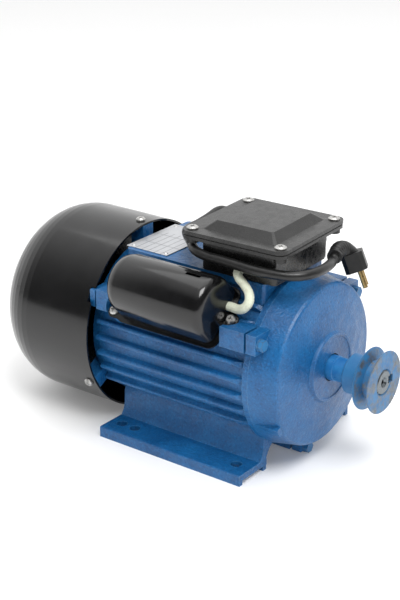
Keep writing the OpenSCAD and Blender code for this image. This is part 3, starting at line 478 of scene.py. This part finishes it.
# Height of the coil over its plane, in millimetres, at each angle
COIL_RISE = [(0, 26), (180, 13), (360, 11), (COIL_END, 4.4)]
END_ROUTE = [
    (-34.5, 53.5, 147.5), (-36, 49, 158.5), (-37, 42, 166.5), (-37.5, 32, 169.5), (-39, 20, 166.5),
    (-41, 9, 164), (-41.5, -1, 163.5), (-37, -10.5, 164.5), (-28, -21, 166), (-15, -33.5, 167),
    (-3, -44.5, 166.5), (10, -46.6, 165), (24, -47, 165), (38, -47.5, 164.8),
    (52, -47.6, 164.2), (66, -44.5, 163.6), (77, -40, 163), (85, -34, 163), (89.5, -26, 163),
    (91, -17, 163), (90, -6.5, 162.4), (87, 4, 161.2),
]
BOOT_MOUTH = Vector((80.5, 20, 160.5)) * MM
BOOT_WAY = Vector((-0.34, 0.93, 0.13)).normalized() * MM
BOOT_ROUTE = [
    (78.2, 27, 162.3), (77.3, 33, 162.4), (77.6, 39, 160.2), (78.6, 42, 157.6), (79.8, 44.5, 154.5),
]
SLEEVE_ROUTE = [
    (32, -53, 133), (38, -53, 133), (45, -54, 133.2), (51, -55.2, 136.5), (54.3, -54.3, 142),
    (51.8, -51.3, 147.3), (45, -47.6, 150.8), (38.5, -45.3, 154), (35.3, -42.6, 156.6),
    (34.6, -38.4, 157.4),
]


def metres(points):
    return [Vector(p) * MM for p in points]


def in_box(p):
    """A point of the terminal box's own frame, in the motor's frame."""
    turned = Matrix.Rotation(BOX_TURN, 3, "Z") @ p
    return turned + Vector((BOX_X, 0, 0))


def step_between(table, x):
    """The value at x of a table of (x, value) pairs, in straight steps."""
    for (x0, y0), (x1, y1) in zip(table, table[1:]):
        if x <= x1:
            return y0 + (y1 - y0) * (x - x0) / (x1 - x0)
    return table[-1][1]


def coil_points():
    """One and a half turns laid on the housing's far shoulder."""
    down = Vector((0, math.cos(COIL_TILT), -math.sin(COIL_TILT)))
    out = Vector((0, math.sin(COIL_TILT), math.cos(COIL_TILT)))
    points = []
    for angle in range(0, COIL_END + 1, COIL_STEP):
        a = math.radians(angle)
        flat = Vector((1, 0, 0)) * math.cos(a) + down * math.sin(a)
        points.append(COIL_MIDDLE + flat * COIL_R + out * step_between(COIL_RISE, angle) * MM)
    return points


def cord_route():
    start = [in_box(GLAND + Vector((0, reach, 0)) * MM) for reach in (0.02, 4, 9)]
    start.append(Vector((31, 68, 160)) * MM)
    finish = [BOOT_MOUTH - BOOT_WAY * reach for reach in (7, 3, 0)]
    return start + coil_points() + metres(END_ROUTE) + finish


def smooth(points, n):
    """Points of a smooth curve through the given ones, n to a stretch."""
    result = []
    for i in range(len(points) - 1):
        a = points[max(i - 1, 0)]
        b = points[i]
        c = points[i + 1]
        d = points[min(i + 2, len(points) - 1)]
        for k in range(n):
            t = k / n
            result.append(0.5 * (
                2 * b + (c - a) * t + (2 * a - 5 * b + 4 * c - d) * t * t
                + (3 * b - a - 3 * c + d) * t * t * t
            ))
    result.append(points[-1])
    return result


def tube(name, points, radius, sides, look):
    """A closed tube along points; radius(s, angle, length) gives its radius at arc length s."""
    mesh = bpy.data.meshes.new(name)
    bm = bmesh.new()
    lengths = [0.0]
    for a, b in zip(points, points[1:]):
        lengths.append(lengths[-1] + (b - a).length)
    side = Vector((0, 0, 1))
    rings = []
    for i, point in enumerate(points):
        along = (points[min(i + 1, len(points) - 1)] - points[max(i - 1, 0)]).normalized()
        side = (side - along * side.dot(along)).normalized()
        across = along.cross(side)
        ring = []
        for k in range(sides):
            a = 2 * math.pi * k / sides
            r = radius(lengths[i], a, lengths[-1])
            ring.append(bm.verts.new(point + (side * math.cos(a) + across * math.sin(a)) * r))
        rings.append(ring)
    for one, two in zip(rings, rings[1:]):
        for k in range(sides):
            bm.faces.new((one[k], one[(k + 1) % sides], two[(k + 1) % sides], two[k]))
    bm.faces.new(list(reversed(rings[0])))
    bm.faces.new(rings[-1])
    for face in bm.faces:
        face.smooth = len(face.verts) == 4
    bm.to_mesh(mesh)
    bm.free()
    piece = bpy.data.objects.new(name, mesh)
    bpy.context.collection.objects.link(piece)
    mesh.materials.append(MATERIALS[look])
    return piece


# ---- Mains lead, its boot and the plug ----


def add_cord():
    route = smooth(cord_route(), 4)
    data = bpy.data.curves.new("mains_lead", "CURVE")
    data.dimensions = "3D"
    data.bevel_depth = CORD_D / 2
    data.bevel_resolution = 7
    data.use_fill_caps = True
    spline = data.splines.new("POLY")
    spline.points.add(len(route) - 1)
    for slot, point in zip(spline.points, route):
        slot.co = (*point, 1.0)
    spline.use_smooth = True
    cord = bpy.data.objects.new("mains_lead", data)
    bpy.context.collection.objects.link(cord)
    data.materials.append(MATERIALS["cable"])
    length = sum((b - a).length for a, b in zip(route, route[1:]))
    return cord, route[0], length


def boot_radius(s, angle, length):
    """A collar at the mouth, a ribbed neck and a flare where it meets the plug."""
    t = s / length
    collar = 5.9 if t < 0.12 else 5.1 + 1.9 * t
    rib = 0.3 * math.cos(s / (2.7 * MM) * 2 * math.pi) if 0.15 < t < 0.7 else 0.0
    return (collar + rib) * MM


def add_boot():
    route = [BOOT_MOUTH, BOOT_MOUTH + BOOT_WAY * 3] + metres(BOOT_ROUTE)
    boot = tube("ribbed_boot", smooth(route, 16), boot_radius, 28, "rubber")
    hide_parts("cord_boot")
    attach(boot, "frame")
    return boot


boot = add_boot()
cord, cord_exit, cord_length = add_cord()
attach(cord, "frame")
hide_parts("power_cord")

# ---- Woven sleeve from the capacitor cover into the box ----


def braid_radius(s, angle, length):
    """Two sets of strands that cross; the radius doesn't depend on the whole length."""
    pitch = 2 * math.pi * s / (7 * MM)
    strands = math.cos(6 * angle + pitch * 2) * math.cos(6 * angle - pitch * 2)
    slack = 0.12 * math.sin(s / (9 * MM))
    return (3.42 + 0.16 * strands + slack) * MM


def add_sleeve():
    sleeve = tube("woven_sleeve", smooth(metres(SLEEVE_ROUTE), 14), braid_radius, 48, "sleeve")
    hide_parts("lead_sleeve")
    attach(sleeve, "frame")


add_sleeve()

# ---- Studio ----


def add_floor():
    """A pale floor that glows a little, so that it stays white in the picture."""
    mesh = bpy.data.meshes.new("floor")
    reach = 6.0
    corners = [(-reach, -reach, 0), (reach, -reach, 0), (reach, reach, 0), (-reach, reach, 0)]
    mesh.from_pydata(corners, [], [(0, 1, 2, 3)])
    floor = bpy.data.objects.new("floor", mesh)
    bpy.context.collection.objects.link(floor)
    p = Paint("pale_floor", 0.6)
    p.colour(p.mix(p.noise(400, 2), (0.86, 0.86, 0.86), (0.90, 0.90, 0.90)))
    p.shader.inputs["Emission Color"].default_value = (1, 1, 1, 1)
    p.shader.inputs["Emission Strength"].default_value = 0.1
    mesh.materials.append(p.material)


def add_light(name, place, target, size, power, mirrored=False):
    """An area light aimed at target; only a mirrored one shows in reflections."""
    data = bpy.data.lights.new(name, "AREA")
    data.shape = "RECTANGLE"
    data.size, data.size_y = size
    data.energy = power
    light = bpy.data.objects.new(name, data)
    bpy.context.collection.objects.link(light)
    light.location = place
    light.rotation_euler = (Vector(target) - Vector(place)).to_track_quat("-Z", "Y").to_euler()
    light.visible_glossy = mirrored


def add_world():
    """A white backdrop and ceiling, and a dark room on the side the motor faces."""
    world = bpy.data.worlds.new("studio")
    world.use_nodes = True
    tree = world.node_tree
    way = tree.nodes.new("ShaderNodeTexCoord").outputs["Generated"]

    def toward(direction, low, high, to_low, to_high):
        dot = tree.nodes.new("ShaderNodeVectorMath")
        dot.operation = "DOT_PRODUCT"
        dot.inputs[1].default_value = direction
        tree.links.new(way, dot.inputs[0])
        ramp = tree.nodes.new("ShaderNodeMapRange")
        ramp.interpolation_type = "SMOOTHSTEP"
        sockets = ("From Min", "From Max", "To Min", "To Max")
        for socket, value in zip(sockets, (low, high, to_low, to_high)):
            ramp.inputs[socket].default_value = value
        tree.links.new(dot.outputs["Value"], ramp.inputs["Value"])
        return ramp.outputs["Result"]

    most = tree.nodes.new("ShaderNodeMath")
    most.operation = "MAXIMUM"
    tree.links.new(toward((-0.6, 0.8, 0), -0.35, 0.55, 0.10, 1.15), most.inputs[0])
    tree.links.new(toward((0, 0, 1), 0.45, 0.95, 0.0, 0.95), most.inputs[1])
    tree.nodes["Background"].inputs["Color"].default_value = (1, 1, 1, 1)
    tree.links.new(most.outputs["Value"], tree.nodes["Background"].inputs["Strength"])
    bpy.context.scene.world = world


# Standard keeps the floor white and the enamel black, as in the photograph
bpy.context.scene.view_settings.view_transform = "Standard"
add_floor()
add_world()
MIDDLE = (0, 0, 0.09)
add_light("overhead", (-0.3, 0.3, 1.6), MIDDLE, (1.4, 1.2), 6, True)
add_light("key", (0.7, -0.5, 1.5), MIDDLE, (0.8, 0.8), 19, True)
add_light("front_left", (-0.6, -2.0, 0.55), MIDDLE, (1.6, 1.0), 9)
add_light("right_side", (1.9, -0.6, 0.6), MIDDLE, (1.4, 1.0), 11)
